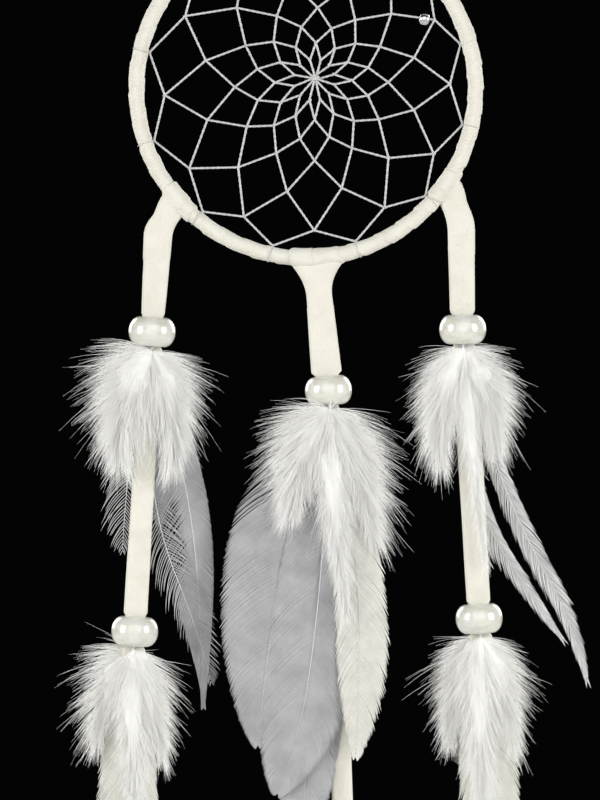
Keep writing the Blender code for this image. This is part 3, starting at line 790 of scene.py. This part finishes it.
def quill(blade, thick, end=0.97):
    """The shaft: a tapered oval tube that stands a little proud of the barbs."""
    share = np.linspace(0, end, 44)
    path = blade.middle(share)
    root = np.array([0.0])
    before_root = np.linspace(QUILL_ABOVE_ROOT, 0.0004, 4)[:, None]
    lead = blade.middle(root) - blade.ahead(root) * before_root
    path = np.concatenate([lead, path])[None]
    size = np.concatenate([np.full(4, 1.0), 1 - 0.85 * share])[None] * thick
    return strands(path, size, size * 0.8, FRONT, 8)


def vane(blade, rng, kind, start, splits, torn=None):
    """Two rows of flat barbs, which lie edge to edge where they are wider than their spacing."""
    spacing, width_share, angles, fray, uneven = VANES[kind]
    parts = []
    for side in (-1, 1):
        count = int(blade.length * (1 - start) / spacing)
        place = np.arange(count) + rng.uniform(-0.15, 0.15, count)
        share = np.clip(start + (0.985 - start) * place / count, 0, 0.99)
        slant = np.radians(angles[0] + (angles[1] - angles[0]) * share**1.3)
        slant = slant + rng.normal(0, uneven, count)
        slant = slant + 0.02 * smooth_noise(rng, count, 6)
        if torn and torn[0] == side:
            tear = (share > torn[1]) & (share < torn[2])
            slant = slant + np.where(tear, rng.normal(0, 0.035, count), 0)
        width = blade.outline(share, side)
        for _ in range(8):
            tip = share + width / np.tan(slant) / blade.length
            width = 0.5 * width + 0.5 * blade.outline(tip, side)
        width = np.maximum(width, 0.0004) * (1 + rng.normal(0, fray, count))
        forward = width / np.tan(slant)
        shift = np.zeros(count)
        for split, size in splits[side]:
            away = share - split
            shift += np.sign(away) * size * np.exp(-np.abs(away) / 0.05)
        t = np.linspace(0, 1, BARB_STEPS)
        out = np.sin(t * math.pi / 2 * 0.9) / math.sin(math.pi / 2 * 0.9)
        reach = width[:, None] * (0.55 * t + 0.45 * out)
        ahead = forward[:, None] * (0.75 * t + 0.25 * t**2) + shift[:, None] * t**1.5
        level = side * reach / max(blade.half[side], 1e-6)
        dip = VANE_CUP * level**2 + rng.normal(0, 0.00002, count)[:, None] * t
        path = (
            blade.middle(share)[:, None, :]
            + blade.across(share)[:, None, :] * (side * reach)[..., None]
            + blade.ahead(share)[:, None, :] * ahead[..., None]
            - FRONT * dip[..., None]
        )
        tip_share = np.clip(share[:, None] + ahead / blade.length, 0, 1.1)
        path[..., 1] += blade.curl * (tip_share**2 - share[:, None] ** 2)
        apart = blade.length * (1 - start) / count * np.sin(slant)
        narrowing = np.interp(t, (0, 0.1, 0.8, 1.0), (0.8, 1.0, 0.85, 0.12))
        wide = 0.5 * apart[:, None] * width_share * narrowing
        if torn and torn[0] == side:
            inside = np.clip((share - torn[1]) / 0.03, 0, 1)
            inside = inside * np.clip((torn[2] - share) / 0.08, 0, 1)
            wide = wide * (1 - 0.80 * inside[:, None] * np.clip((t - 0.15) / 0.25, 0, 1))
        parts.append(strands(path, wide, np.maximum(wide * 0.28, 0.00002), FRONT, 4))
    return parts


def core(blade, rng, depth):
    """The matted middle of the fluff."""
    share = np.linspace(0.0, 0.74, 34)
    around = np.arange(26) * math.tau / 26
    lumps = 1 + 0.10 * smooth_noise(rng, 34, 9)[:, None]
    lumps = lumps + 0.08 * np.sin(5 * around + 9 * share[:, None])
    swell = np.interp(share, (0.0, 0.06, 0.25, 0.74), (0.15, 0.60, 1.0, 0.08))
    size = 0.30 * swell[:, None] * lumps
    half = np.where(np.cos(around) < 0, blade.half[-1], blade.half[1])
    out = size * half * np.cos(around)
    front = size * depth * 0.5 * (blade.half[-1] + blade.half[1]) * np.sin(around)
    ahead = 0.30 * np.abs(out)
    points = (
        blade.middle(share)[:, None, :]
        + blade.across(share)[:, None, :] * out[..., None]
        + blade.ahead(share)[:, None, :] * ahead[..., None]
        + FRONT * front[..., None]
    )
    return loft(points)


def down(blade, rng, count, depth, angles, thick, back=0.5, wisps=0.05):
    """Fluff: hairs in loose locks that leave the shaft all round, bend down and part at their ends.

    back is the share of locks that may point backwards, and wisps the share of extra long ones.
    """
    locks = count // HAIRS_IN_LOCK
    share = np.clip(rng.beta(0.85, 1.35, locks), 0.0, 0.97)
    side = rng.choice((-1, 1), locks)
    turn = rng.normal(0, 0.62, locks)
    turn = np.clip(np.where(rng.random(locks) < back, turn, -np.abs(turn)), -1.4, 1.4)
    slant = np.radians(angles[0] + (angles[1] - angles[0]) * share**0.7)
    slant = slant * rng.uniform(0.25, 1.0, locks) ** 0.7
    slant = slant + rng.normal(0, 0.08, locks)
    full = np.where(side < 0, blade.half[-1], blade.half[1])
    reach = full * np.interp(share, (0, 0.08, 0.30, 0.97), (0.85, 1.0, 0.95, 0.60))
    reach = reach * (1 + rng.normal(0, 0.15, locks))
    reach = np.where(rng.random(locks) < wisps, reach * rng.uniform(1.15, 1.5, locks), reach)
    pick = np.repeat(np.arange(locks), HAIRS_IN_LOCK)
    total = len(pick)
    t = np.linspace(0, 1, HAIR_STEPS)[None, :]
    share = share[pick] + rng.normal(0, 0.010, total)
    side, turn = side[pick], turn[pick] + rng.normal(0, 0.10, total)
    slant = np.clip(slant[pick] + rng.normal(0, 0.05, total), 0.1, 1.75)
    length = reach[pick] * rng.uniform(0.50, 1.10, total)
    end_slant = slant * rng.uniform(0.35, 0.75, locks)[pick] + rng.normal(0, 0.08, total)
    bent = slant[:, None] + (end_slant - slant)[:, None] * t
    dt = 1.0 / (HAIR_STEPS - 1)
    root = np.zeros((total, 1))
    out, ahead = (
        np.concatenate([root, np.cumsum((f[:, 1:] + f[:, :-1]) / 2 * dt, axis=1)], axis=1)
        * length[:, None]
        for f in (np.sin(bent), np.cos(bent))
    )
    crimp = [
        np.sin(t * rng.uniform(4, 9, total)[:, None] + rng.random(total)[:, None] * math.tau)
        * t * rng.uniform(0.00002, 0.00012, total)[:, None]
        + rng.normal(0, 0.00035, total)[:, None] * t**2
        for _ in range(3)
    ]
    path = (
        blade.middle(share)[:, None, :]
        + blade.across(share)[:, None, :] * (side * np.cos(turn))[:, None, None] * out[..., None]
        - FRONT * (np.sin(turn) * depth)[:, None, None] * out[..., None]
        + blade.ahead(share)[:, None, :] * ahead[..., None]
        + np.stack(crimp, -1)
    )
    narrowing = np.interp(t[0], (0, 0.6, 1), (1.0, 0.85, 0.35))
    size = thick * rng.uniform(0.7, 1.25, total)[:, None] * narrowing[None]
    facing = unit(FRONT + rng.normal(0, 0.35, (total, 3)))
    return strands(path, size * 1.25, size * 0.7, facing, 3)


def build_feather(number, name, kind, length, leans, half_left, half_right, extras):
    """One feather from its row in FEATHERS. Its number seeds its random draws."""
    rng = np.random.default_rng(100 + number)
    joint = JOINTS[f"{name}_lift"]
    root = np.array(joint["pos_m"])
    front = joint["axis"][0] < 0
    halves = (half_left * MM, half_right * MM)
    if kind == "down":
        blade = Blade(root, length * MM, leans, halves)
        barbs = [
            core(blade, rng, DOWN_DEPTH),
            down(
                blade, rng, extras["count"], DOWN_DEPTH, extras["angles"], HAIR_RADIUS,
                back=0.35 if front else 0.8, wisps=extras.get("wisps", 0.05),
            ),
        ]
        shaft = quill(blade, DOWN_SHAFT_RADIUS, end=0.85)
        material = DOWN
    else:
        curl = (-0.0012 if front else 0.0014) * length / 50
        taper = extras.get("taper", (0.7, 0.7))
        blade = Blade(root, length * MM, leans, halves, extras["widest"], curl, taper)
        splits = {side: [(rng.uniform(0.4, 0.9), rng.uniform(0.0002, 0.0006))] for side in (-1, 1)}
        barbs = vane(blade, rng, kind, extras.get("start", 0.10), splits, extras.get("torn"))
        tuft_halves = (TUFT_HALF_WIDTH, TUFT_HALF_WIDTH)
        tuft = Blade(root, length * MM * TUFT_SHARE, leans[:2], tuft_halves)
        barbs.append(down(tuft, rng, TUFT_HAIRS, TUFT_DEPTH, TUFT_ANGLES, TUFT_HAIR_RADIUS))
        shaft = quill(blade, VANE_SHAFT_RADIUS)
        material = BARBS[kind]
    vertices, polygons, numbers = joined([shaft] + barbs)
    slots = np.minimum(numbers, 1)
    feather = mesh_object(f"{name}_feather", vertices, polygons, [QUILL, material], slots)
    if kind == "down":  # the hairs are flat-shaded, the shaft and the core are smooth
        feather.data.polygons.foreach_set("use_smooth", numbers < 2)
    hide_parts(name)
    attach(feather, name)


# ---------------------------------------------------------------- stage, light and camera

def floor_material():
    """Pale and plain, with a faint mottle."""
    material, tree, shader = nodes_of("pale_floor")
    lighter = tuple(c * 1.02 for c in FLOOR_COLOUR)
    tone = ramp(tree, object_noise(tree, 30, 2), ((0.4, FLOOR_COLOUR), (0.6, lighter)))
    tree.links.new(tone, shader.inputs["Base Color"])
    shader.inputs["Roughness"].default_value = 0.8
    return material


def build_stage():
    """The floor below the hanging object, and a nearly black world behind it."""
    low, half = CAD_BOX[0].z - FLOOR_GAP, FLOOR_HALF
    corners = [(x * half, y * half, low) for x, y in ((-1, -1), (1, -1), (1, 1), (-1, 1))]
    floor = mesh_object("floor", np.array(corners), [np.array([[0, 1, 2, 3]])], [floor_material()])
    world = bpy.data.worlds.new("studio")
    bpy.context.scene.world = world
    world.use_nodes = True
    background = world.node_tree.nodes["Background"]
    background.inputs["Color"].default_value = WORLD_COLOUR
    background.inputs["Strength"].default_value = 1.0


def softbox(name, azimuth, elevation, distance, width, height, power):
    """A soft area light that faces the object. Azimuth 0 is in front of it, 90 to its right."""
    a, e = math.radians(azimuth), math.radians(elevation)
    way = Vector((math.sin(a) * math.cos(e), -math.cos(a) * math.cos(e), math.sin(e)))
    data = bpy.data.lights.new(name, "AREA")
    data.shape = "RECTANGLE"
    data.size, data.size_y = width, height
    data.energy = power
    lamp = bpy.data.objects.new(name, data)
    bpy.context.scene.collection.objects.link(lamp)
    lamp.visible_camera = False
    lamp.location = Vector(LIGHTS_AIM) + way * distance
    lamp.rotation_mode = "QUATERNION"
    lamp.rotation_quaternion = way.to_track_quat("Z", "Y")


def build_lights():
    softbox("key_left", -62, 10, 0.75, 0.30, 0.40, 3.7)
    softbox("key_right", 62, 10, 0.75, 0.30, 0.40, 3.7)
    softbox("front_fill", 0, 16, 1.35, 1.6, 1.4, 12.0)
    softbox("back_left", -140, 18, 0.85, 0.4, 0.5, 3.0)
    softbox("back_right", 140, 18, 0.85, 0.4, 0.5, 3.0)


def build_camera():
    data = bpy.data.cameras.new("camera")
    data.sensor_width = SENSOR_MM
    data.lens = data.sensor_width * CAMERA_DISTANCE / PICTURE_HEIGHT
    data.clip_start, data.clip_end = 0.05, 20.0
    camera = bpy.data.objects.new("camera", data)
    bpy.context.scene.collection.objects.link(camera)
    camera.location = (PICTURE_MIDDLE[0], -CAMERA_DISTANCE, PICTURE_MIDDLE[1])
    camera.rotation_euler = (math.pi / 2, 0.0, 0.0)
    bpy.context.scene.camera = camera


build_camera()
build_stage()
build_lights()
bpy.context.scene.view_settings.view_transform = "Standard"
frame["nodes"]["hoop_ring"].data.materials.clear()
frame["nodes"]["hoop_ring"].data.materials.append(STEEL)
build_wrap()
build_web()
build_beads()
for drop_name, drop_spec in DROPS.items():
    build_lace(drop_name, drop_spec)
for feather_number, feather_spec in enumerate(FEATHERS):
    build_feather(feather_number, *feather_spec)
